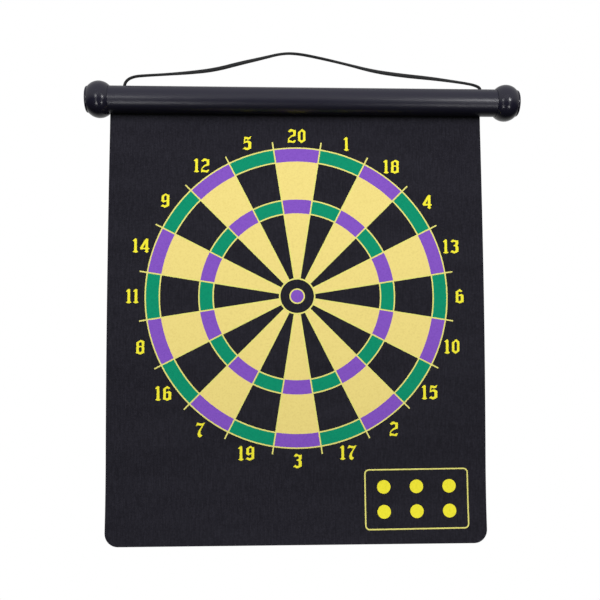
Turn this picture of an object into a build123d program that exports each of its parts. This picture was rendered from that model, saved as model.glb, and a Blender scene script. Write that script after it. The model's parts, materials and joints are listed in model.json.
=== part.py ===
"""Magnetic roll-up dartboard, as it hangs on the wall.

A glossy plastic tube with a ball cap pressed into each end carries a sheet that is a
laminate of black cloth, iron-powder rubber and black cloth.  The sheet's hem goes up
through a slit along the tube and is glued into a rod that is too thick to come back
through it.  A cord knotted inside the tube hangs the board from a hook.

Frame: origin where the hook takes the cord, X along the tube, -Y towards the player,
+Z up.  The sheet rolls up towards the player, so it is cut across into panels that
meet at hinge lines.
"""
import os
from math import cos, pi, radians, sin, sqrt, tan

from build123d import *

os.makedirs("parts", exist_ok=True)

# ---------------------------------------------------------------- driving dimensions, mm
TUBE_OD = 27.0
TUBE_WALL = 1.5
CORD_INSET = 14.5         # from each end of the tube to its cord hole
CORD_DIAMETER = 2.7
CORD_HOLE_CLEARANCE = 0.3  # round the cord, in its hole
HINGE_CLEARANCE = 0.3     # between the cord's rounded end and the tube

CAP_SWELL = 4.6           # how far the ball stands out round the tube
CAP_LIP = 0.8             # how far its edge against the tube stands out
CAP_BALL_CREST = 8.9      # from the tube's end to the widest ring of the ball
CAP_BALL_LENGTH = 20.4
CAP_BOSS_RADIUS = 13.0
CAP_BOSS_LENGTH = 2.0     # with the groove before it
CAP_GROOVE_WIDTH = 0.6
CAP_GROOVE_DEPTH = 0.5
CAP_RIM = 1.1             # rounding of the boss's edge
CAP_WALL = 2.0
SPIGOT_TO_KNOT = 1.3      # from the spigot's end to the knot inside the tube
SPIGOT_CLEARANCE = 0.05

SHEET_WIDTH = 370.0
SHEET_DROP = 422.4        # from the tube's lowest line to the bottom edge
CLOTH = 0.35
CORE = 0.8
CORNER_RADIUS = 13.0
SIDE_PLAY = 14.4          # how far the sheet can slide between the caps
BELLY = 6.0               # how far the sheet's middle bows towards the player
BOTTOM_CURL = 6.0         # the last stretch turns forward by this much
CURL_START = 0.8          # share of the drop where that stretch starts
PANELS = 12
PANEL_GAP = 1.0
HINGE_DROP = 4.5          # from the tube's lowest line to the first hinge line
EDGE_CLEARANCE = 0.3      # between the sheet's side and a cap
SLIT_CLEARANCE = 0.3      # on each face of the hem

ROD_DIAMETER = 7.0
ROD_ANGLE = 33.3          # the rod lies in the bore this far round behind its lowest line
ROD_CLEARANCE = 0.3       # between the rod and the bore
ROD_GROOVE_DEPTH = 4.5
GLUE = 0.05
HEM_INSET = 1.0           # between the hem's tongue and the cap's spigot

KNOT_DIAMETER = 6.4
KNOT_CLEARANCE = 0.2      # under the tube's wall
KNOT_TAIL = 5.0

# The cord's route, from its left end to its right end, as it hangs from the hook.  Its
# points are (x, z), and it passes through the origin between the middle two.
CORD_ROUTE = [
    (-164.0, -33.25),
    (-160.8, -28.1),
    (-154.0, -25.0),
    (-144.0, -24.0),
    (-126.0, -22.8),
    (-98.0, -20.5),
    (-74.0, -17.3),
    (-50.0, -10.6),
    (-27.0, -5.0),
    (-8.0, 0.0),
    (8.0, 0.0),
    (32.0, -4.7),
    (58.0, -10.7),
    (84.0, -17.3),
    (112.0, -21.1),
    (142.0, -23.8),
    (164.0, -26.6),
    (178.0, -28.6),
    (186.0, -30.3),
    (192.0, -33.25),
]

# ---------------------------------------------------------------- places that follow
cord_radius = CORD_DIAMETER / 2
tube_radius = TUBE_OD / 2
bore_radius = tube_radius - TUBE_WALL
tube_length = SHEET_WIDTH + SIDE_PLAY + 2 * EDGE_CLEARANCE
tube_left = CORD_ROUTE[0][0] - CORD_INSET
tube_right = tube_left + tube_length
hole_places = (tube_left + CORD_INSET, tube_right - CORD_INSET)
tube_top = CORD_ROUTE[0][1] - cord_radius - HINGE_CLEARANCE
axis_z = tube_top - tube_radius
tube_bottom = axis_z - tube_radius

rod_radius = ROD_DIAMETER / 2
rod_reach = bore_radius - rod_radius - ROD_CLEARANCE
rod_z = axis_z - rod_reach * cos(radians(ROD_ANGLE))
set_back = rod_reach * sin(radians(ROD_ANGLE))

laminate = CORE + 2 * CLOTH
sheet_left = tube_left + EDGE_CLEARANCE
sheet_middle = sheet_left + SHEET_WIDTH / 2
first_hinge_z = tube_bottom - HINGE_DROP
sheet_bottom = tube_bottom - SHEET_DROP


def hang(z):
    """The sheet's Y at height z: it bows forward in the middle and curls at the foot."""
    drop = (first_hinge_z - z) / (first_hinge_z - sheet_bottom)
    foot = max(0.0, (drop - CURL_START) / (1 - CURL_START))
    return set_back - BELLY * sin(pi * drop) - BOTTOM_CURL * foot**2


def save(part, label):
    """Label the finished piece and write its STEP file."""
    part.label = label
    export_step(part, f"parts/{label}.step")


# ---------------------------------------------------------------- tube
# Extruded pipe with a slit along its whole length for the hem, behind its lowest line,
# and a hole for the cord at each end of its top.
slit_width = laminate + 2 * SLIT_CLEARANCE
cord_hole_radius = cord_radius + CORD_HOLE_CLEARANCE

with BuildPart() as tube:
    with BuildSketch(Plane.YZ.offset(tube_left)):
        with Locations((0, axis_z)):
            Circle(tube_radius)
            Circle(bore_radius, mode=Mode.SUBTRACT)
        with Locations((set_back, axis_z)):
            Rectangle(slit_width, tube_radius, align=(Align.CENTER, Align.MAX), mode=Mode.SUBTRACT)
    extrude(amount=tube_length)
    with BuildSketch(Plane.XY.offset(tube_top)):
        with Locations(*[(x, 0) for x in hole_places]):
            Circle(cord_hole_radius)
    extrude(amount=-2 * TUBE_WALL, mode=Mode.SUBTRACT)
save(tube.part, "tube")


# ---------------------------------------------------------------- ball caps
# Moulded in one, cored out from the tube's side: a spigot pressed into the bore, a ball
# that butts on the tube's end, a groove and a round-edged boss.
spigot_radius = bore_radius - SPIGOT_CLEARANCE
spigot_length = CORD_INSET - KNOT_DIAMETER / 2 - SPIGOT_TO_KNOT
cap_length = CAP_BALL_LENGTH + CAP_BOSS_LENGTH


def ball_cap(end_x, outward, label):
    """One cap, turned from a profile in (distance out from the tube's end, radius)."""
    ball_radius = tube_radius + CAP_SWELL
    neck_radius = tube_radius + CAP_LIP
    groove_radius = CAP_BOSS_RADIUS - CAP_GROOVE_DEPTH
    boss_start = CAP_BALL_LENGTH + CAP_GROOVE_WIDTH
    ball_end = CAP_BOSS_RADIUS + CAP_GROOVE_DEPTH / 2
    core_radius = spigot_radius - CAP_WALL
    cap_plane = Plane(origin=(end_x, 0, axis_z), x_dir=(outward, 0, 0), z_dir=(0, -outward, 0))
    with BuildPart() as cap:
        with BuildSketch(cap_plane):
            with BuildLine():
                Polyline(
                    (0, neck_radius),
                    (0, spigot_radius),
                    (-spigot_length, spigot_radius),
                    (-spigot_length, core_radius),
                    (CAP_BALL_LENGTH, core_radius),
                    (CAP_BALL_LENGTH, 0),
                    (cap_length, 0),
                    (cap_length, CAP_BOSS_RADIUS - CAP_RIM),
                )
                ThreePointArc(
                    (cap_length, CAP_BOSS_RADIUS - CAP_RIM),
                    (cap_length - CAP_RIM * (1 - sqrt(0.5)), CAP_BOSS_RADIUS - CAP_RIM * (1 - sqrt(0.5))),
                    (cap_length - CAP_RIM, CAP_BOSS_RADIUS),
                )
                Polyline(
                    (cap_length - CAP_RIM, CAP_BOSS_RADIUS),
                    (boss_start, CAP_BOSS_RADIUS),
                    (boss_start, groove_radius),
                    (CAP_BALL_LENGTH, groove_radius),
                    (CAP_BALL_LENGTH, ball_end),
                )
                ThreePointArc(
                    (CAP_BALL_LENGTH, ball_end),
                    (CAP_BALL_CREST, ball_radius),
                    (0, neck_radius),
                )
            make_face()
        revolve(axis=Axis(cap_plane.origin, cap_plane.x_dir))
    save(cap.part, label)


ball_cap(tube_left, -1, "left_cap")
ball_cap(tube_right, 1, "right_cap")


# ---------------------------------------------------------------- hanging cord
# One limp cord from hole to hole, in straight runs joined by tangent arcs.  Its ends are
# rounded about the line that the board swings on.
cord_points = [Vector(x, 0, z) for x, z in CORD_ROUTE]
cord_runs = [b - a for a, b in zip(cord_points, cord_points[1:])]
cord_turns = [a.get_angle(b) for a, b in zip(cord_runs, cord_runs[1:])]
cord_bends = [
    0.45 * min(a.length, b.length) / tan(radians(turn) / 2)
    for a, b, turn in zip(cord_runs, cord_runs[1:], cord_turns)
]
print("cord radii:", [round(bend, 1) for bend in cord_bends])

with BuildPart() as hanging_cord:
    with BuildLine() as cord_path:
        FilletPolyline(*cord_points, radius=cord_bends)
    with BuildSketch(cord_path.line ^ 0):
        Circle(cord_radius)
    sweep()
    swept_volume = hanging_cord.part.volume
    with Locations(cord_points[0], cord_points[-1]):
        Sphere(cord_radius)
cord_length = sum(edge.length for edge in cord_path.edges())
straight_volume = pi * cord_radius**2 * cord_length
print(f"cord length {cord_length:.1f}, swept {swept_volume:.1f}, straight {straight_volume:.1f}")
save(hanging_cord.part, "hanging_cord")

# The cord's ends inside the tube: a neck through the wall, a stopper knot and a tail.
knot_radius = KNOT_DIAMETER / 2
knot_z = axis_z + bore_radius - KNOT_CLEARANCE - knot_radius

for label, hole_x in zip(("left_knot", "right_knot"), hole_places):
    with BuildPart() as knot:
        with Locations((hole_x, 0, knot_z)):
            Sphere(knot_radius)
            Cylinder(cord_radius, tube_top - knot_z, align=(Align.CENTER, Align.CENTER, Align.MIN))
            Cylinder(cord_radius, knot_radius + KNOT_TAIL, align=(Align.CENTER, Align.CENTER, Align.MAX))
    save(knot.part, label)


# ---------------------------------------------------------------- retaining rod
# A plastic rod that lies in the bore over the slit.  The hem is glued into its groove.
tongue_left = sheet_left + spigot_length + HEM_INSET
tongue_width = SHEET_WIDTH - 2 * (tongue_left - sheet_left)
hem_top = rod_z - rod_radius + ROD_GROOVE_DEPTH - GLUE

with BuildPart() as retaining_rod:
    with BuildSketch(Plane.YZ.offset(tongue_left)):
        with Locations((set_back, rod_z)):
            Circle(rod_radius)
        with Locations((set_back, rod_z - rod_radius + ROD_GROOVE_DEPTH)):
            Rectangle(
                laminate + 2 * GLUE,
                ROD_DIAMETER,
                align=(Align.CENTER, Align.MAX),
                mode=Mode.SUBTRACT,
            )
    extrude(amount=tongue_width)
save(retaining_rod.part, "retaining_rod")


# ---------------------------------------------------------------- sheet
# Three layers glued over their whole faces.  Each is named with the distance of its back
# face behind or before the sheet's middle plane, and its thickness.
LAYERS = {
    "back_cloth": (-CORE / 2 - CLOTH, CLOTH),
    "magnetic_core": (-CORE / 2, CORE),
    "front_cloth": (CORE / 2, CLOTH),
}

# The hem: as wide as the sheet under the tube, and narrower between the caps' spigots,
# where its tongue goes up through the slit into the rod.
under_tube = axis_z - sqrt(tube_radius**2 - set_back**2) - 2 * SLIT_CLEARANCE
hem_foot = first_hinge_z + PANEL_GAP / 2
hem_plane = Plane(origin=(sheet_middle, set_back, hem_foot), x_dir=(1, 0, 0), z_dir=(0, -1, 0))

for layer, (back_face, thickness) in LAYERS.items():
    with BuildPart() as hem:
        with BuildSketch(hem_plane.offset(back_face)):
            Rectangle(SHEET_WIDTH, under_tube - hem_foot, align=(Align.CENTER, Align.MIN))
            Rectangle(tongue_width, hem_top - hem_foot, align=(Align.CENTER, Align.MIN))
        extrude(amount=thickness)
    save(hem.part, f"{layer}_hem")

# The panels, from the tube down, between hinge lines that lie on the hanging curve.
hinge_heights = [first_hinge_z + (sheet_bottom - first_hinge_z) * n / PANELS for n in range(PANELS + 1)]
hinge_points = [Vector(sheet_middle, hang(z), z) for z in hinge_heights]

for number, (top, foot) in enumerate(zip(hinge_points, hinge_points[1:]), start=1):
    down = (foot - top).normalized()
    front = down.cross(Vector(1, 0, 0))
    height = (foot - top).length - PANEL_GAP
    panel_plane = Plane(origin=(top + foot) / 2, x_dir=(1, 0, 0), z_dir=front)
    for layer, (back_face, thickness) in LAYERS.items():
        with BuildPart() as panel:
            with BuildSketch(panel_plane.offset(back_face)) as outline:
                Rectangle(SHEET_WIDTH, height)
                if number == PANELS:
                    fillet(outline.vertices().sort_by(Axis.Y)[:2], radius=CORNER_RADIUS)
            extrude(amount=thickness)
        save(panel.part, f"{layer}_{number:02d}")
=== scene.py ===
"""Magnetic roll-up dartboard: a printed cloth-and-rubber sheet in a ball-capped tube, hung by its cord."""
import json
import math

import bmesh
import bpy
from mathutils import Matrix, Vector
from mathutils.geometry import delaunay_2d_cdt

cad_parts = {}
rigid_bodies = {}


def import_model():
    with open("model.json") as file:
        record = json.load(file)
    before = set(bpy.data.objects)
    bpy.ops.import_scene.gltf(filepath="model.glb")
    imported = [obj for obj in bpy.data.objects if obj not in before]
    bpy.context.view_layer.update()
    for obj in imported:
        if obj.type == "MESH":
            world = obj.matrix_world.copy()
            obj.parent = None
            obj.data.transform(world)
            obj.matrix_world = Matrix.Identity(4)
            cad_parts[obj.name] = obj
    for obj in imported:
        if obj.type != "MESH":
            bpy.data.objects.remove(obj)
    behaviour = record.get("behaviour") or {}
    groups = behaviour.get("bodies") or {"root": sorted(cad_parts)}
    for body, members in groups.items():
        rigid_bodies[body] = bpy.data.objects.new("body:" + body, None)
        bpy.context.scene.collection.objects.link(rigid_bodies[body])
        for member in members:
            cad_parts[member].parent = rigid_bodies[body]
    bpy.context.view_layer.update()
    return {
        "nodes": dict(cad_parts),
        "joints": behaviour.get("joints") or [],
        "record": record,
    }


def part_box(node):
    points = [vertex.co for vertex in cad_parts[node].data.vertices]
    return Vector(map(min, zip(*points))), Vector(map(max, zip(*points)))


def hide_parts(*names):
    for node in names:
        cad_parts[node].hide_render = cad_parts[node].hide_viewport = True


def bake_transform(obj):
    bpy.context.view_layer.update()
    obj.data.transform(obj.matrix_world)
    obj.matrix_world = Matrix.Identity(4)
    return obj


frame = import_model()
nodes = frame["nodes"]

# ------------------------------------------------------------------ the tube
# Extruded black PVC conduit, 27 mm across, slit along its back for the sheet's hem.
# It comes off the die glossy, with very fine lines along its length.
MM = 0.001


def linear(hex_colour):
    """An sRGB hex colour as the linear RGBA that a shader takes."""
    channels = [int(hex_colour[n:n + 2], 16) / 255 for n in (1, 3, 5)]
    return [c / 12.92 if c <= 0.04045 else ((c + 0.055) / 1.055) ** 2.4 for c in channels] + [1.0]


def add_node(material, kind, inputs=None, **properties):
    """Add a shader node, set its properties, and set or link each input."""
    tree = material.node_tree
    node = tree.nodes.new(kind)
    for name, value in properties.items():
        setattr(node, name, value)
    for name, value in (inputs or {}).items():
        socket = node.inputs[name]
        if isinstance(value, bpy.types.NodeSocket):
            tree.links.new(value, socket)
        else:
            socket.default_value = value
    return node


def start_material(name):
    """A new material with no nodes in it yet."""
    material = bpy.data.materials.new(name)
    material.use_nodes = True
    material.node_tree.nodes.clear()
    return material


def finish_surface(material, surface):
    """Give the material a Principled surface with those inputs."""
    shader = add_node(material, "ShaderNodeBsdfPrincipled", surface)
    add_node(material, "ShaderNodeOutputMaterial", {"Surface": shader.outputs["BSDF"]})
    return material


def wear(material, *names):
    """Give CAD nodes their material."""
    for name in names:
        mesh = nodes[name].data
        mesh.materials.clear()
        mesh.materials.append(material)


def extruded_pvc():
    """Extruded PVC: glossy, IOR 1.53.  Fine die lines run along the tube and break up its glints."""
    line_spacing, line_length, haze_width = 0.6 * MM, 667 * MM, 33.3 * MM
    material = start_material("extruded_black_pvc")
    place = add_node(material, "ShaderNodeTexCoord").outputs["Object"]
    stretched = add_node(
        material,
        "ShaderNodeVectorMath",
        {0: place, 1: (1 / line_length, 1 / line_spacing, 1 / line_spacing)},
        operation="MULTIPLY",
    )
    lines = add_node(
        material, "ShaderNodeTexNoise", {"Vector": stretched.outputs[0], "Scale": 1.0, "Detail": 3.0}
    )
    bump = add_node(
        material, "ShaderNodeBump", {"Height": lines.outputs["Fac"], "Strength": 0.03, "Distance": 0.05 * MM}
    )
    haze = add_node(material, "ShaderNodeTexNoise", {"Vector": place, "Scale": 1 / haze_width, "Detail": 2.0})
    gloss = add_node(
        material, "ShaderNodeMapRange", {"Value": haze.outputs["Fac"], "To Min": 0.3, "To Max": 0.36}
    )
    return finish_surface(material, {
        "Base Color": linear("#1C1B2A"),
        "IOR": 1.53,
        "Roughness": gloss.outputs["Result"],
        "Normal": bump.outputs["Normal"],
    })


wear(extruded_pvc(), "tube")
tube_low, tube_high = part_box("tube")

# ------------------------------------------------------------------ the ball caps
# Injection-moulded polystyrene, cored from the tube's side and pressed in.  The mould was
# finer than the tube's die, so they are glossier, with a faint ripple where the ball cooled.


def moulded_polystyrene():
    """Moulded styrene: IOR 1.55 and a satin mould, so small soft highlights over a faint ripple."""
    ripple_width, scuff_width = 6 * MM, 2.5 * MM
    material = start_material("moulded_black_polystyrene")
    place = add_node(material, "ShaderNodeTexCoord").outputs["Object"]
    ripple = add_node(
        material, "ShaderNodeTexNoise", {"Vector": place, "Scale": 1 / ripple_width, "Detail": 1.0}
    )
    bump = add_node(
        material, "ShaderNodeBump", {"Height": ripple.outputs["Fac"], "Strength": 0.02, "Distance": 0.1 * MM}
    )
    scuff = add_node(
        material, "ShaderNodeTexNoise", {"Vector": place, "Scale": 1 / scuff_width, "Detail": 2.0}
    )
    gloss = add_node(
        material, "ShaderNodeMapRange", {"Value": scuff.outputs["Fac"], "To Min": 0.18, "To Max": 0.24}
    )
    return finish_surface(material, {
        "Base Color": linear("#1C1B29"),
        "IOR": 1.55,
        "Roughness": gloss.outputs["Result"],
        "Normal": bump.outputs["Normal"],
    })


wear(moulded_polystyrene(), "left_cap", "right_cap")

# ------------------------------------------------------------------ the retaining rod
# Extruded polypropylene, filled with carbon black and grooved for the hem.  It lies inside
# the tube and shows only where the slit is looked into.


def black_polypropylene():
    """Polypropylene with carbon black: waxy and half matt, with faint flow streaks along it."""
    streak_length, streak_width = 120 * MM, 1.1 * MM
    material = start_material("black_polypropylene")
    place = add_node(material, "ShaderNodeTexCoord").outputs["Object"]
    stretched = add_node(
        material,
        "ShaderNodeVectorMath",
        {0: place, 1: (1 / streak_length, 1 / streak_width, 1 / streak_width)},
        operation="MULTIPLY",
    )
    streaks = add_node(
        material, "ShaderNodeTexNoise", {"Vector": stretched.outputs[0], "Scale": 1.0, "Detail": 2.0}
    )
    tint = add_node(
        material,
        "ShaderNodeMix",
        {"Factor": streaks.outputs["Fac"], "A": linear("#1D1D1F"), "B": linear("#29292B")},
        data_type="RGBA",
    )
    return finish_surface(material, {
        "Base Color": tint.outputs["Result"],
        "IOR": 1.49,
        "Roughness": 0.45,
    })


wear(black_polypropylene(), "retaining_rod")

# ------------------------------------------------------------------ the sheet: how it hangs
# Two black cloths glued to a sheet of iron-powder rubber, 1.5 mm thick in all.  Rolled for
# storage, it keeps a slight bow when it hangs, and its foot turns forward.
rolls = [joint for joint in frame["joints"] if joint["name"].startswith("sheet_roll")]
hinges = [Vector(joint["pos_m"]) for joint in rolls]
panel_bodies = [rolls[0]["parent"]] + [joint["child"] for joint in rolls]
members = frame["record"]["behaviour"]["bodies"]
layers = ("front_cloth", "magnetic_core", "back_cloth")

sheet_low, sheet_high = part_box("front_cloth_06")
hem_front, hem_core, hem_back = (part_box(f"{layer}_hem") for layer in layers)
thickness = hem_back[1].y - hem_front[0].y
cloth_thickness = hem_front[1].y - hem_front[0].y
last_core_low, last_core_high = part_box("magnetic_core_12")
sheet_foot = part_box("front_cloth_12")[0].z
pitch = hinges[0].z - hinges[1].z

# The hinge lines' places in Y, with one more at each end so that the curve leaves the
# tube plumb and runs out straight at the foot.
foot_y = last_core_low.y + last_core_high.y - hinges[-1].y
hang_y = [hinges[1].y] + [hinge.y for hinge in hinges] + [foot_y, 2 * foot_y - hinges[-1].y]


def hang(z):
    """The sheet's middle at height z: its Y, and how fast Y changes with Z."""
    down = (hinges[0].z - z) / pitch
    if down <= 0:
        return hinges[0].y, 0.0
    step = min(int(down), len(hinges) - 1)
    t = down - step
    before, start, end, after = hang_y[step:step + 4]
    leave = (end - before) / 2
    arrive = (after - start) / 2
    bend = 3 * (end - start) - 2 * leave - arrive
    twist = 2 * (start - end) + leave + arrive
    y = start + t * (leave + t * (bend + t * twist))
    return y, -(leave + t * (2 * bend + 3 * t * twist)) / pitch


def on_sheet(x, z, forward):
    """The point of the sheet at (x, z), that far in front of its middle."""
    y, slope = hang(z)
    stretch = math.hypot(1, slope)
    return Vector((x, y - forward / stretch, z + forward * slope / stretch))


# ------------------------------------------------------------------ the sheet: its print
# Screen-printed inks on the front cloth: pale yellow wedges, straw-coloured wires, purple and
# green scoring beds, lemon numerals and parking dots for six darts.  Later inks lie on top.
bull_x = (sheet_low.x + sheet_high.x) / 2
bull_z = tube_low.z - 181.2 * MM
numbers = (20, 1, 18, 4, 13, 6, 10, 15, 2, 17, 3, 19, 7, 16, 8, 11, 14, 9, 12, 5)
sector = math.tau / len(numbers)
wire = 1.3 * MM
double_ring = (134.4 * MM, 148.1 * MM)
triple_ring = (82.2 * MM, 96.0 * MM)
wedge_start = 17.9 * MM
spoke_end = 155.7 * MM

printed = []                        # (outline, ink), in the order that they are printed


def ink(colour, outline):
    """Print one outline over all that is printed so far."""
    printed.append((outline, colour))


def around_bull(radius, angle):
    """A place on the dial, its angle measured clockwise from the top."""
    return (bull_x + radius * math.sin(angle), bull_z + radius * math.cos(angle))


def ring_piece(inner, outer, start, end):
    """The outline of a piece of a ring between two angles."""
    steps = max(2, round(math.degrees(end - start) / 3))
    angles = [start + (end - start) * n / steps for n in range(steps + 1)]
    return [around_bull(outer, a) for a in angles] + [around_bull(inner, a) for a in reversed(angles)]


def disc(centre, radius, points=40):
    """The outline of a round dot."""
    angles = [math.tau * n / points for n in range(points)]
    return [(centre[0] + radius * math.sin(a), centre[1] + radius * math.cos(a)) for a in angles]


def bar(start, end, width):
    """The outline of a straight line of that width."""
    start, end = Vector(start), Vector(end)
    side = (end - start).normalized().orthogonal() * width / 2
    return [tuple(start + side), tuple(end + side), tuple(end - side), tuple(start - side)]


for index in range(len(numbers)):
    start, end = (index - 0.5) * sector, (index + 0.5) * sector
    if index % 2 == 0:
        ink("pale_yellow_ink", ring_piece(wedge_start, double_ring[1], start, end))
        for ring in (double_ring, triple_ring):
            ink("purple_ink", ring_piece(*ring, start, end))
for index in range(len(numbers)):
    start, end = (index - 0.5) * sector, (index + 0.5) * sector
    if index % 2:
        for inner, outer in (double_ring, triple_ring):
            ink("green_ink", ring_piece(inner, outer, start, end))
            for radius in (inner, outer):
                ink("straw_ink", ring_piece(radius - wire / 2, radius + wire / 2, start, end))
    else:
        ink("straw_ink", ring_piece(double_ring[1] - wire / 2, double_ring[1] + wire / 2, start, end))
for index in range(len(numbers)):
    edge = (index + 0.5) * sector
    ink("straw_ink", bar(around_bull(wedge_start, edge), around_bull(spoke_end, edge), wire))
for colour, radius in (
    ("straw_ink", wedge_start),
    ("black_cloth", 16.5 * MM),
    ("straw_ink", 7.6 * MM),
    ("purple_ink", 6.3 * MM),
):
    ink(colour, disc((bull_x, bull_z), radius))

# The parking box, low on the right: a rounded line round two rows of three dots.  Its
# screen was set half a degree askew.
park_x = bull_x + 116.5 * MM
park_z = bull_z - 197.9 * MM
park_width, park_height = 102.0 * MM, 58.5 * MM
park_corner = 4.5 * MM
park_line = 1.3 * MM
park_tilt = math.radians(0.5)
dot_radius = 6.6 * MM
dot_spacing, dot_row_spacing = 32.1 * MM, 23.9 * MM


def parked(side, up):
    """A place in the parking box, from its middle."""
    return (
        park_x + side * math.cos(park_tilt) - up * math.sin(park_tilt),
        park_z + side * math.sin(park_tilt) + up * math.cos(park_tilt),
    )


def rounded_box(inset):
    """The parking line's outline, taken in by that much on every side."""
    radius = park_corner - inset
    outline = []
    for turn, (right_side, top_side) in enumerate(((1, 1), (1, -1), (-1, -1), (-1, 1))):
        corner_x = right_side * (park_width / 2 - park_corner)
        corner_z = top_side * (park_height / 2 - park_corner)
        for n in range(5):
            angle = (turn + n / 4) * math.pi / 2
            outline.append(parked(corner_x + radius * math.sin(angle), corner_z + radius * math.cos(angle)))
    return outline


ink("straw_ink", rounded_box(0))
ink("black_cloth", rounded_box(park_line))
for row in (-0.5, 0.5):
    for column in (-1, 0, 1):
        ink("lemon_ink", disc(parked(column * dot_spacing, row * dot_row_spacing), dot_radius, 32))

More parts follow.
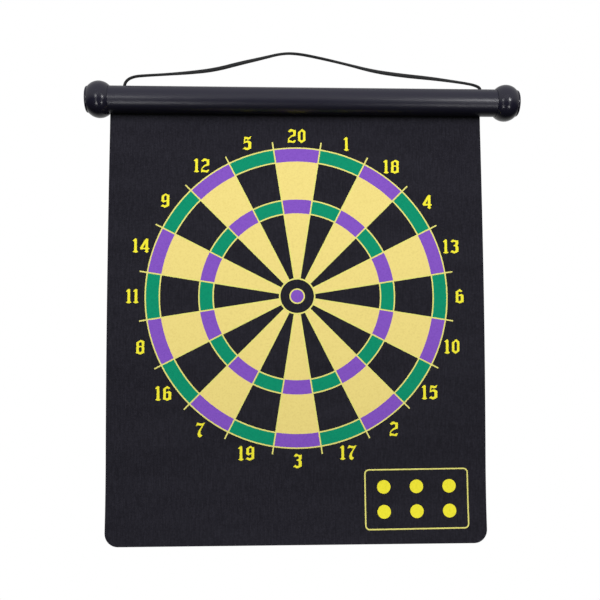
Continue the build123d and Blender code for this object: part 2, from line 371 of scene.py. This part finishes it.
# The numerals, cut with a broad nib: each stroke is an outline on a grid 16 units high.
FOOT = [(0.2, 1.6), (2.4, 3.8), (4.6, 2.6), (6.4, 3.4), (9.3, 2.4), (7.4, 1.2), (4.4, 0.0), (2.2, 1.2)]
BOWL_FOOT = [
    (0.4, 1.6), (0.9, 3.0), (3.6, 3.4), (4.8, 2.4), (6.4, 3.6),
    (9.3, 3.0), (9.6, 1.8), (7.4, 1.0), (5.0, 0.0), (2.8, 1.0),
]
NUMERALS = {
    "0": (9.4, [
        [(0.6, 12.6), (0.6, 2.6), (3.2, 3.8), (3.2, 12.2)],
        [(6.2, 12.6), (6.2, 3.6), (8.8, 2.8), (8.8, 13.4)],
        [(0.6, 12.4), (3.4, 14.4), (4.2, 15.4), (5.6, 16.0), (8.8, 13.3), (6.2, 12.2),
         (4.6, 13.4), (3.2, 11.8)],
        [(0.6, 2.8), (4.4, 0.0), (8.8, 3.0), (6.2, 4.0), (4.8, 2.6), (3.2, 4.0)],
    ]),
    "1": (6.0, [
        [(1.6, 1.8), (1.7, 12.8), (0.6, 12.6), (0.0, 13.4), (1.6, 15.0), (3.2, 16.0),
         (4.4, 15.0), (4.5, 1.8)],
        [(0.0, 1.2), (1.4, 2.2), (4.8, 2.2), (6.0, 1.5), (4.8, 0.5), (3.2, 0.0), (1.2, 0.6)],
    ]),
    "2": (9.4, [
        [(0.5, 13.2), (3.0, 15.6), (5.0, 15.9), (7.4, 14.6), (9.2, 14.9), (9.2, 8.6),
         (8.2, 7.6), (6.4, 8.8),
         (6.4, 12.8), (4.6, 13.2), (2.6, 12.2)],
        [(8.2, 9.2), (8.2, 8.0), (4.8, 7.0), (2.0, 4.8), (1.5, 2.4), (0.4, 2.0),
         (0.8, 5.2), (4.0, 8.4), (7.0, 9.8)],
        [(0.2, 0.2), (0.4, 2.4), (1.6, 3.4), (3.6, 2.8), (6.0, 2.2), (7.6, 3.2), (9.3, 3.2), (8.4, 1.2),
         (7.2, 0.0), (3.0, 0.7)],
    ]),
    "3": (9.4, [
        [(0.8, 13.4), (3.2, 15.8), (5.2, 15.2), (7.0, 14.4), (9.3, 14.8), (9.3, 10.4),
         (7.8, 8.6), (6.2, 9.8),
         (6.2, 12.8), (4.4, 13.2), (2.6, 12.4)],
        [(3.4, 8.9), (6.6, 10.6), (8.6, 9.2), (6.6, 7.4)],
        [(6.2, 8.0), (8.2, 8.8), (9.5, 7.4), (9.3, 2.0), (6.2, 2.6)],
        FOOT,
    ]),
    "4": (10.4, [
        [(5.8, 14.8), (7.4, 16.0), (9.0, 15.2), (8.7, 2.4), (9.6, 1.4), (7.6, 0.0), (5.2, 1.4), (6.1, 2.4)],
        [(5.8, 15.0), (6.4, 11.6), (3.3, 5.6), (0.0, 5.4)],
        [(0.0, 5.4), (0.8, 3.7), (4.8, 3.9), (9.4, 3.6), (10.4, 4.7), (9.4, 5.7), (3.0, 5.7)],
    ]),
    "5": (9.4, [
        [(1.9, 15.4), (4.2, 15.1), (6.6, 14.6), (9.5, 16.0), (8.2, 12.8), (5.8, 12.1),
         (3.8, 12.9), (1.9, 12.6)],
        [(1.9, 15.4), (3.1, 14.6), (2.4, 9.0), (1.0, 7.8)],
        [(1.0, 7.8), (2.6, 9.9), (5.4, 11.3), (7.6, 10.5), (9.5, 9.4), (6.4, 7.9), (4.8, 8.9), (3.0, 8.5)],
        [(6.2, 9.4), (9.5, 9.4), (9.3, 2.0), (6.2, 2.6)],
        FOOT,
    ]),
    "6": (9.8, [
        [(0.9, 13.0), (3.7, 13.4), (3.7, 2.6), (0.9, 2.2)],
        [(0.9, 12.8), (3.4, 14.8), (5.2, 16.0), (8.4, 13.6), (6.6, 12.5), (4.8, 13.4), (3.2, 12.2)],
        [(3.2, 8.8), (5.2, 9.8), (7.2, 10.7), (9.6, 9.0), (6.6, 7.7), (5.0, 8.5), (3.2, 7.7)],
        [(6.4, 9.0), (9.6, 9.0), (9.4, 2.4), (6.4, 3.0)],
        BOWL_FOOT,
    ]),
    "7": (10.2, [
        [(0.6, 12.3), (2.0, 15.9), (4.4, 15.2), (7.0, 14.8), (10.3, 15.9), (8.2, 13.4),
         (5.8, 12.4), (3.4, 13.1)],
        [(10.3, 15.9), (8.7, 12.8), (6.7, 9.4), (5.3, 6.0), (5.7, 3.4), (7.7, 2.3), (6.4, 0.8), (4.8, 0.0),
         (3.0, 1.0), (2.4, 4.0), (3.4, 7.0), (6.0, 10.8), (8.0, 14.0)],
    ]),
    "8": (9.8, [
        [(1.0, 13.4), (3.7, 13.8), (3.7, 2.6), (0.9, 2.4), (0.9, 7.6), (1.7, 8.4), (1.0, 9.2)],
        [(1.0, 13.2), (3.8, 14.6), (5.8, 15.9), (7.4, 15.2), (9.6, 13.9), (6.8, 12.7),
         (5.2, 13.5), (3.4, 12.3)],
        [(6.8, 13.6), (9.6, 13.9), (9.3, 9.4), (8.7, 8.4), (9.5, 7.6), (9.3, 2.2), (6.8, 3.0)],
        [(3.2, 9.0), (5.2, 9.5), (7.2, 9.0), (7.2, 7.6), (5.2, 8.1), (3.2, 7.5)],
        BOWL_FOOT,
    ]),
    "9": (9.8, [
        [(1.1, 13.2), (3.9, 13.6), (3.9, 7.4), (1.1, 7.4)],
        [(1.1, 13.0), (3.6, 14.8), (5.6, 16.0), (7.6, 14.6), (9.7, 14.4), (8.8, 12.4),
         (6.8, 13.1), (5.4, 13.8), (3.6, 12.3)],
        [(6.8, 13.6), (9.5, 14.2), (9.5, 2.0), (6.6, 2.6)],
        [(0.6, 7.7), (3.2, 5.6), (5.0, 6.6), (7.0, 7.2), (7.0, 8.8), (4.8, 7.9), (3.7, 8.7), (1.1, 8.8)],
        FOOT,
    ]),
}
grid_height = 16
numeral_unit = 14.4 * MM / grid_height
numeral_gap = 1.7
number_circle = 160.5 * MM

for index, number in enumerate(numbers):
    digits = [NUMERALS[digit] for digit in str(number)]
    width = sum(advance for advance, strokes in digits) + numeral_gap * (len(digits) - 1)
    centre = around_bull(number_circle, index * sector)
    left = -width / 2
    for advance, strokes in digits:
        for stroke in strokes:
            ink(
                "lemon_ink",
                [
                    (centre[0] + (left + u) * numeral_unit, centre[1] + (v - grid_height / 2) * numeral_unit)
                    for u, v in stroke
                ],
            )
        left += advance + numeral_gap

# ------------------------------------------------------------------ the sheet: its cloth
# Flocked polyester: short upright fibres in glue, so it is black, dead matt and a little
# velvety at a glancing look.  The inks lie on the fibres' tips and flatten them.
fibre = 0.45 * MM
tuft = 1.6 * MM                     # how far apart the flock gathers into tufts


def flat_place(material):
    """Where a point lies on the flat sheet, in metres, so that no pattern slides when it rolls."""
    return add_node(material, "ShaderNodeAttribute", attribute_name="flat_place").outputs["Vector"]


def flock_pile(material, place, height):
    """Fibre tips gathered into tufts, drawn coarser than real flock, which is too fine to show.
    Returns the tufts and the bumped normal."""
    tips = add_node(material, "ShaderNodeTexNoise", {"Vector": place, "Scale": 1 / fibre, "Detail": 2.0})
    tufts = add_node(material, "ShaderNodeTexNoise", {"Vector": place, "Scale": 1 / tuft, "Detail": 3.0})
    pile = add_node(
        material, "ShaderNodeMath", {0: tips.outputs["Fac"], 1: tufts.outputs["Fac"]}, operation="ADD"
    )
    bump = add_node(
        material, "ShaderNodeBump", {"Height": pile.outputs[0], "Strength": 0.5, "Distance": height}
    )
    return tufts.outputs["Fac"], bump.outputs["Normal"]


def black_flock():
    """Black flock: no gloss, a dark sheen, a grain that runs down the sheet where it was brushed,
    and broad bands in its colour, partly pile pressed flat by handling and partly painted sheen."""
    grain_width, grain_length = 1.3 * MM, 14 * MM
    nap_and_sheen_length, nap_and_sheen_height = 140 * MM, 26 * MM
    material = start_material("black_flocked_cloth")
    place = flat_place(material)
    tufts, normal = flock_pile(material, place, 0.25 * MM)
    brushed = add_node(
        material,
        "ShaderNodeVectorMath",
        {0: place, 1: (1 / grain_width, 1 / grain_length, 1.0)},
        operation="MULTIPLY",
    )
    grain = add_node(
        material, "ShaderNodeTexNoise", {"Vector": brushed.outputs[0], "Scale": 1.0, "Detail": 4.0}
    )
    # Broad bands painted into the colour: partly pile pressed flat by handling, partly painted sheen.
    nap_and_sheen_scale = add_node(
        material,
        "ShaderNodeVectorMath",
        {0: place, 1: (1 / nap_and_sheen_length, 1 / nap_and_sheen_height, 1.0)},
        operation="MULTIPLY",
    )
    nap_and_sheen_bands = add_node(
        material,
        "ShaderNodeTexNoise",
        {"Vector": nap_and_sheen_scale.outputs[0], "Scale": 1.0, "Detail": 2.0, "Distortion": 0.6},
    )
    strands = add_node(material, "ShaderNodeMath", {0: grain.outputs["Fac"], 1: tufts}, operation="MULTIPLY")
    mottle = add_node(
        material,
        "ShaderNodeMath",
        {0: nap_and_sheen_bands.outputs["Fac"], 1: 0.25, 2: strands.outputs[0]},
        operation="MULTIPLY_ADD",
    )
    shade = add_node(
        material, "ShaderNodeMapRange", {"Value": mottle.outputs[0], "From Min": 0.25, "From Max": 0.53}
    )
    tint = add_node(
        material,
        "ShaderNodeMix",
        {"Factor": shade.outputs["Result"], "A": linear("#1B1A21"), "B": linear("#28272F")},
        data_type="RGBA",
    )
    return finish_surface(material, {
        "Base Color": tint.outputs["Result"],
        "IOR": 1.45,
        "Roughness": 0.95,
        "Specular IOR Level": 0.25,
        "Sheen Weight": 0.08,
        "Sheen Roughness": 0.4,
        "Sheen Tint": linear("#8A8A96"),
        "Normal": normal,
    })


def screen_ink(name, thin, full):
    """Screen-printed plastisol: matt, with a little of the pile showing where the ink lies thin."""
    material = start_material(name)
    place = flat_place(material)
    tufts, normal = flock_pile(material, place, 0.12 * MM)
    coverage = add_node(
        material, "ShaderNodeMapRange", {"Value": tufts, "From Min": 0.3, "From Max": 0.55}
    )
    tint = add_node(
        material,
        "ShaderNodeMix",
        {"Factor": coverage.outputs["Result"], "A": linear(thin), "B": linear(full)},
        data_type="RGBA",
    )
    return finish_surface(material, {
        "Base Color": tint.outputs["Result"],
        "IOR": 1.5,
        "Roughness": 0.8,
        "Specular IOR Level": 0.12,
        "Normal": normal,
    })


def iron_rubber():
    """Calendered rubber full of iron powder: grey-brown and matt, with dark specks of the powder."""
    speck = 0.5 * MM
    material = start_material("iron_powder_rubber")
    place = flat_place(material)
    powder = add_node(material, "ShaderNodeTexVoronoi", {"Vector": place, "Scale": 1 / speck})
    tint = add_node(
        material,
        "ShaderNodeMix",
        {"Factor": powder.outputs["Distance"], "A": linear("#4A443F"), "B": linear("#2E2A28")},
        data_type="RGBA",
    )
    return finish_surface(material, {"Base Color": tint.outputs["Result"], "IOR": 1.52, "Roughness": 0.8})


sheet_materials = {
    "black_cloth": black_flock(),
    "pale_yellow_ink": screen_ink("pale_yellow_screen_ink", "#EBD67F", "#F2DE86"),
    "straw_ink": screen_ink("straw_screen_ink", "#E2DB77", "#EDE67F"),
    "lemon_ink": screen_ink("lemon_screen_ink", "#F0E634", "#FAF03B"),
    "purple_ink": screen_ink("purple_screen_ink", "#7E4FBC", "#8656C4"),
    "green_ink": screen_ink("green_screen_ink", "#068A67", "#0B926C"),
    "iron_rubber": iron_rubber(),
}
material_order = list(sheet_materials)

# ------------------------------------------------------------------ the sheet: cut and laid up
# One rectangle with rounded lower corners.  Its shoulders just meet the tube from below, and a
# narrower tongue goes up through the slit into the rod.  It is made in twelve lengths that
# meet half-way between the hinge lines, one round each hinge.
corner = 13.0 * MM
rows_per_panel = 8
column_count = 20
left, right = sheet_low.x, sheet_high.x
tongue_left, tongue_right = (corner_point.x for corner_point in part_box("retaining_rod"))
tongue_top = hem_core[1].z
tube_radius = (tube_high.z - tube_low.z) / 2
tube_gap = 0.05 * MM


def under_tube(y):
    """The height of the tube's underside at y, less a hair's breadth."""
    return tube_high.z - tube_radius - math.sqrt(tube_radius**2 - y**2) - tube_gap


shoulder = under_tube(hem_front[0].y)


def rounded_foot(centre_x, start):
    """A lower corner of the sheet, a quarter turn from the angle start."""
    angles = [start + n * math.pi / 16 for n in range(9)]
    centre_z = sheet_foot + corner
    return [(centre_x + corner * math.sin(a), centre_z + corner * math.cos(a)) for a in angles]


sheet_outline = (
    [(tongue_left, tongue_top), (tongue_right, tongue_top), (tongue_right, shoulder), (right, shoulder)]
    + rounded_foot(right - corner, math.pi / 2)
    + rounded_foot(left + corner, math.pi)
    + [(left, shoulder), (tongue_left, shoulder)]
)
cuts = [(above.z + below.z) / 2 for above, below in zip(hinges, hinges[1:])]
row_heights = [hinges[0].z - pitch * n / rows_per_panel for n in range(-1, len(hinges) * rows_per_panel)]
columns = [left + (right - left) * n / column_count for n in range(1, column_count)]


def anticlockwise(outline):
    """The outline, turned round if it runs clockwise."""
    doubled_area = sum(a[0] * b[1] - a[1] * b[0] for a, b in zip(outline, outline[1:] + outline[:1]))
    return outline if doubled_area > 0 else outline[::-1]


def triangulate(outlines):
    """Cut the plane along every outline and along the sheet's rows and columns.  Returns the
    points, and each triangle of the sheet with the last outline that it lies in."""
    points, edges, loops = [], [], []
    for outline in outlines:
        loops.append(list(range(len(points), len(points) + len(outline))))
        points += [Vector(point) / MM for point in anticlockwise(outline)]
    grid = [((left, z), (right, z)) for z in row_heights]
    grid += [((x, shoulder), (x, sheet_foot)) for x in columns]
    for line in grid:
        edges.append((len(points), len(points) + 1))
        points += [Vector(point) / MM for point in line]
    cut_points, _, triangles, _, _, covers = delaunay_2d_cdt(points, edges, loops, 0, 1e-4)
    on_the_sheet = [(triangle, max(cover)) for triangle, cover in zip(triangles, covers) if 0 in cover]
    return [point * MM for point in cut_points], on_the_sheet


places, triangles = triangulate([sheet_outline] + [outline for outline, colour in printed])
inks = ["black_cloth"] + [colour for outline, colour in printed]
lengths = [[] for _ in rolls]
for triangle, cover in triangles:
    middle = sum(places[n].y for n in triangle) / 3
    lengths[sum(middle < cut for cut in cuts)].append((triangle, inks[cover]))
half = thickness / 2
depths = (half, half - cloth_thickness, cloth_thickness - half, -half)


def laminate_length(name, triangles):
    """One length of the sheet as a closed solid: printed face, plain back, three-layer edge."""
    build = bmesh.new()
    made = {}
    flat = []

    def vertex(n, layer):
        if (n, layer) not in made:
            place = places[n]
            point = on_sheet(place.x, place.y, depths[layer])
            if abs(place.y - shoulder) < tube_gap:
                point.z = under_tube(point.y)
            made[n, layer] = build.verts.new(point)
            flat.append((place.x, place.y, depths[layer]))
        return made[n, layer]

    rim = {}
    for (a, b, c), colour in triangles:
        front = build.faces.new([vertex(a, 0), vertex(b, 0), vertex(c, 0)])
        front.material_index = material_order.index(colour)
        back = build.faces.new([vertex(c, 3), vertex(b, 3), vertex(a, 3)])
        front.smooth = back.smooth = True
        for start, end in ((a, b), (b, c), (c, a)):
            if (end, start) in rim:
                del rim[end, start]
            else:
                rim[start, end] = True
    for start, end in rim:
        for layer in range(3):
            ring = [(end, layer), (start, layer), (start, layer + 1), (end, layer + 1)]
            wall = build.faces.new([vertex(n, depth) for n, depth in ring])
            wall.material_index = material_order.index("iron_rubber" if layer == 1 else "black_cloth")
    for edge in build.edges:
        edge.smooth = all(face.smooth for face in edge.link_faces)
    mesh = bpy.data.meshes.new(name)
    build.to_mesh(mesh)
    build.free()
    flat_place = mesh.attributes.new("flat_place", "FLOAT_VECTOR", "POINT")
    flat_place.data.foreach_set("vector", [value for place in flat for value in place])
    for material in sheet_materials.values():
        mesh.materials.append(material)
    piece = bpy.data.objects.new(name, mesh)
    bpy.context.collection.objects.link(piece)
    return piece


for index, length in enumerate(lengths):
    upper, lower = panel_bodies[index], panel_bodies[index + 1]
    piece = laminate_length(f"sheet_{index + 1:02d}", length)
    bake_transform(piece)
    replaced = list(members[lower])
    if index == 0:
        replaced += [f"{layer}_hem" for layer in layers]
    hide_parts(*replaced)

# ------------------------------------------------------------------ the hanging cord
# A limp braided polyester lace, oval in section, from hole to hole.  Its weight and the
# hook draw it into one low crown.
route = [
    (-164.0, -38.0),
    (-164.0, -33.25),
    (-160.8, -28.1),
    (-154.0, -25.0),
    (-144.0, -24.0),
    (-126.0, -22.8),
    (-98.0, -20.5),
    (-74.0, -17.3),
    (-50.0, -10.6),
    (-27.0, -5.0),
    (-8.0, 0.0),
    (8.0, 0.0),
    (32.0, -4.7),
    (58.0, -10.7),
    (84.0, -17.3),
    (112.0, -21.1),
    (142.0, -23.8),
    (164.0, -26.6),
    (178.0, -28.6),
    (186.0, -30.3),
    (192.0, -33.25),
    (192.0, -38.0),
]
lace_width, lace_height = 4.0 * MM, 2.7 * MM
drawn_in = 3.0 * MM                 # its width and height where it passes through the tube's wall
hole_depth, loosening = 4.0 * MM, 8.0 * MM
first_flat = 105 * MM               # along the lace, to where it first shows its broad side
turn_pitch = 185 * MM               # from there to where it shows it again
braid_pitch = 4.0 * MM


def smooth_line(points):
    """The points of the NURBS line that these points control."""
    curve = bpy.data.curves.new("cord_line", "CURVE")
    curve.dimensions = "3D"
    curve.resolution_u = 12
    spline = curve.splines.new("NURBS")
    spline.points.add(len(points) - 1)
    for control, point in zip(spline.points, points):
        control.co = (*point, 1.0)
    spline.order_u = 3
    spline.use_endpoint_u = True
    holder = bpy.data.objects.new("cord_line", curve)
    bpy.context.collection.objects.link(holder)
    bpy.context.view_layer.update()
    mesh = bpy.data.meshes.new_from_object(holder)
    line = [vertex.co.copy() for vertex in mesh.vertices]
    bpy.data.meshes.remove(mesh)
    bpy.data.objects.remove(holder)
    bpy.data.curves.remove(curve)
    return line


def lace_mesh(line, sides=20):
    """An oval tube along the line.  It turns over slowly, and is drawn in round at its holes."""
    whole = sum((b - a).length for a, b in zip(line, line[1:]))
    build = bmesh.new()
    braid = []
    rings = []
    run = 0.0
    for n, point in enumerate(line):
        ahead = line[min(n + 1, len(line) - 1)]
        behind = line[max(n - 1, 0)]
        tangent = (ahead - behind).normalized()
        run += (point - behind).length if n else 0.0
        turn = math.pi / 4 * (1 + math.cos(math.tau * (run - first_flat) / turn_pitch))
        loose = min(1.0, max(0.0, (min(run, whole - run) - hole_depth) / loosening))
        half_width = (drawn_in + (lace_width - drawn_in) * loose) / 2
        half_height = (drawn_in + (lace_height - drawn_in) * loose) / 2
        across = Vector((0, 1, 0))
        up = tangent.cross(across).normalized()
        ring = []
        for k in range(sides):
            angle = math.tau * k / sides
            u, v = half_width * math.cos(angle), half_height * math.sin(angle)
            side = u * math.cos(turn) - v * math.sin(turn)
            rise = u * math.sin(turn) + v * math.cos(turn)
            ring.append(build.verts.new(point + across * side + up * rise))
            braid.append((run, math.cos(angle), math.sin(angle)))
        rings.append(ring)
    for ring, following in zip(rings, rings[1:]):
        for k in range(sides):
            build.faces.new([ring[k], ring[(k + 1) % sides], following[(k + 1) % sides], following[k]])
    build.faces.new(list(reversed(rings[0])))
    build.faces.new(rings[-1])
    bmesh.ops.recalc_face_normals(build, faces=build.faces)
    for face in build.faces:
        face.smooth = len(face.verts) == 4
    mesh = bpy.data.meshes.new("hanging_lace")
    build.to_mesh(mesh)
    build.free()
    places = mesh.attributes.new("along_braid", "FLOAT_VECTOR", "POINT")
    places.data.foreach_set("vector", [value for place in braid for value in place])
    return mesh


def braided_polyester():
    """Braided polyester: black, slightly silky yarns that cross in a herringbone."""
    yarns_each_way = 4
    material = start_material("braided_black_polyester")
    place = add_node(material, "ShaderNodeAttribute", attribute_name="along_braid").outputs["Vector"]
    parts = add_node(material, "ShaderNodeSeparateXYZ", {"Vector": place})
    turn = add_node(
        material, "ShaderNodeMath", {0: parts.outputs["Z"], 1: parts.outputs["Y"]}, operation="ARCTAN2"
    )
    along = add_node(
        material, "ShaderNodeMath", {0: parts.outputs["X"], 1: math.tau / braid_pitch}, operation="MULTIPLY"
    )
    yarns = []
    for hand in (yarns_each_way, -yarns_each_way):
        phase = add_node(
            material,
            "ShaderNodeMath",
            {0: turn.outputs[0], 1: hand, 2: along.outputs[0]},
            operation="MULTIPLY_ADD",
        )
        yarns.append(add_node(material, "ShaderNodeMath", {0: phase.outputs[0]}, operation="SINE").outputs[0])
    weave = add_node(material, "ShaderNodeMath", {0: yarns[0], 1: yarns[1]}, operation="MAXIMUM")
    bump = add_node(
        material, "ShaderNodeBump", {"Height": weave.outputs[0], "Strength": 0.8, "Distance": 0.12 * MM}
    )
    # The colour follows the weave's height: lighter on the yarns' crowns and darker in the grooves between
    # them, a painted shade.
    tint = add_node(
        material,
        "ShaderNodeMix",
        {"Factor": weave.outputs[0], "A": linear("#0E0E10"), "B": linear("#1C1D1F")},
        data_type="RGBA",
        clamp_factor=True,
    )
    return finish_surface(material, {
        "Base Color": tint.outputs["Result"],
        "IOR": 1.5,
        "Roughness": 0.7,
        "Sheen Weight": 0.15,
        "Sheen Roughness": 0.5,
        "Normal": bump.outputs["Normal"],
    })


cord_line = smooth_line([(x * MM, 0.0, z * MM) for x, z in route])
lace = bpy.data.objects.new("hanging_lace", lace_mesh(cord_line))
bpy.context.collection.objects.link(lace)
lace_material = braided_polyester()
lace.data.materials.append(lace_material)
wear(lace_material, "left_knot", "right_knot")
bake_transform(lace)
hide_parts("hanging_cord")

# ------------------------------------------------------------------ the studio
# A pale floor well below the board and a white room.  A broad light, in front and a little
# above, lights the print, and a tall narrow strip each side glints on the caps and the tube.


def studio_floor():
    """Pale painted floor, matt.  Kept out of the glints, so the tube's underside stays dark."""
    height, side, near, far = -1.6, 8.0, -8.0, 3.2
    corners = [(-side, near, height), (side, near, height), (side, far, height), (-side, far, height)]
    mesh = bpy.data.meshes.new("floor")
    mesh.from_pydata(corners, [], [(0, 1, 2, 3)])
    paint = finish_surface(start_material("pale_floor"), {"Base Color": linear("#F2F2F0"), "Roughness": 0.9})
    mesh.materials.append(paint)
    floor = bpy.data.objects.new("floor", mesh)
    floor.visible_glossy = False
    floor.visible_diffuse = False
    bpy.context.collection.objects.link(floor)


def soft_light(name, place, aim, width, height, watts, glint=True):
    """A rectangular softbox, seen either only as a glint in the plastic or only by its light."""
    light = bpy.data.lights.new(name, "AREA")
    light.shape = "RECTANGLE"
    light.size, light.size_y = width, height
    light.energy = watts
    lamp = bpy.data.objects.new(name, light)
    lamp.location = place
    lamp.rotation_euler = (Vector(aim) - Vector(place)).to_track_quat("-Z", "Y").to_euler()
    lamp.visible_glossy = glint
    lamp.visible_diffuse = not glint
    bpy.context.collection.objects.link(lamp)


def white_room():
    """White overhead and behind the board, dark low down in front, and plain white to look at."""
    world = bpy.data.worlds.new("white_room")
    world.use_nodes = True
    world.node_tree.nodes.clear()
    direction = add_node(world, "ShaderNodeTexCoord").outputs["Generated"]
    parts = add_node(world, "ShaderNodeSeparateXYZ", {"Vector": direction})
    overhead = add_node(
        world,
        "ShaderNodeMapRange",
        {"Value": parts.outputs["Z"], "From Min": -0.2, "From Max": 0.35, "To Min": 0.03, "To Max": 0.72},
        interpolation_type="SMOOTHSTEP",
    )
    behind = add_node(
        world,
        "ShaderNodeMapRange",
        {"Value": parts.outputs["Y"], "From Min": 0.2, "From Max": 0.9, "To Min": 0.0, "To Max": 0.9},
        interpolation_type="SMOOTHSTEP",
    )
    brightness = add_node(
        world,
        "ShaderNodeMath",
        {0: overhead.outputs["Result"], 1: behind.outputs["Result"]},
        operation="MAXIMUM",
    )
    room = add_node(world, "ShaderNodeBackground", {"Strength": brightness.outputs[0]})
    backdrop = add_node(world, "ShaderNodeBackground", {"Color": linear("#FFFFFF"), "Strength": 1.0})
    seen = add_node(world, "ShaderNodeLightPath").outputs["Is Camera Ray"]
    surround = add_node(
        world,
        "ShaderNodeMixShader",
        {0: seen, 1: room.outputs["Background"], 2: backdrop.outputs["Background"]},
    )
    add_node(world, "ShaderNodeOutputWorld", {"Surface": surround.outputs["Shader"]})
    bpy.context.scene.world = world


studio_floor()
white_room()
board_middle = (bull_x, 0.0, bull_z)
tube_middle = (bull_x, 0.0, (tube_low.z + tube_high.z) / 2)
soft_light("overhead", (0.0, -1.5, 0.65), board_middle, width=1.6, height=1.0, watts=29.3, glint=False)
for side, x, y, watts in (("left", -0.33, -0.76, 0.4), ("right", 0.455, -0.82, 1.4)):
    soft_light(f"{side}_strip", (x, y, -0.3), (x, 0.0, -0.3), width=0.13, height=0.75, watts=0.35)
    soft_light(f"{side}_strip_top", (x, y, 0.04), tube_middle, width=0.15, height=0.15, watts=watts)
    soft_light(f"{side}_strip_foot", (x, y, -0.7), tube_middle, width=0.18, height=0.18, watts=0.75)

bpy.context.scene.view_settings.view_transform = "Standard"

# The camera stands a little low and to the left, and looks up a touch.
camera_data = bpy.data.cameras.new("camera")
camera_data.sensor_width = 36.0
camera_data.lens = 48.0
camera = bpy.data.objects.new("camera", camera_data)
forward = Vector((0.0387, 0.9977, 0.0546)).normalized()
across = Vector((0.99925, -0.0386, -0.0019))
across = (across - forward * across.dot(forward)).normalized()
upward = across.cross(forward)
stand = Vector((-0.0208, -0.785, -0.2897))
camera.matrix_world = Matrix((
    (across.x, upward.x, -forward.x, stand.x),
    (across.y, upward.y, -forward.y, stand.y),
    (across.z, upward.z, -forward.z, stand.z),
    (0.0, 0.0, 0.0, 1.0),
))
bpy.context.collection.objects.link(camera)
bpy.context.scene.camera = camera
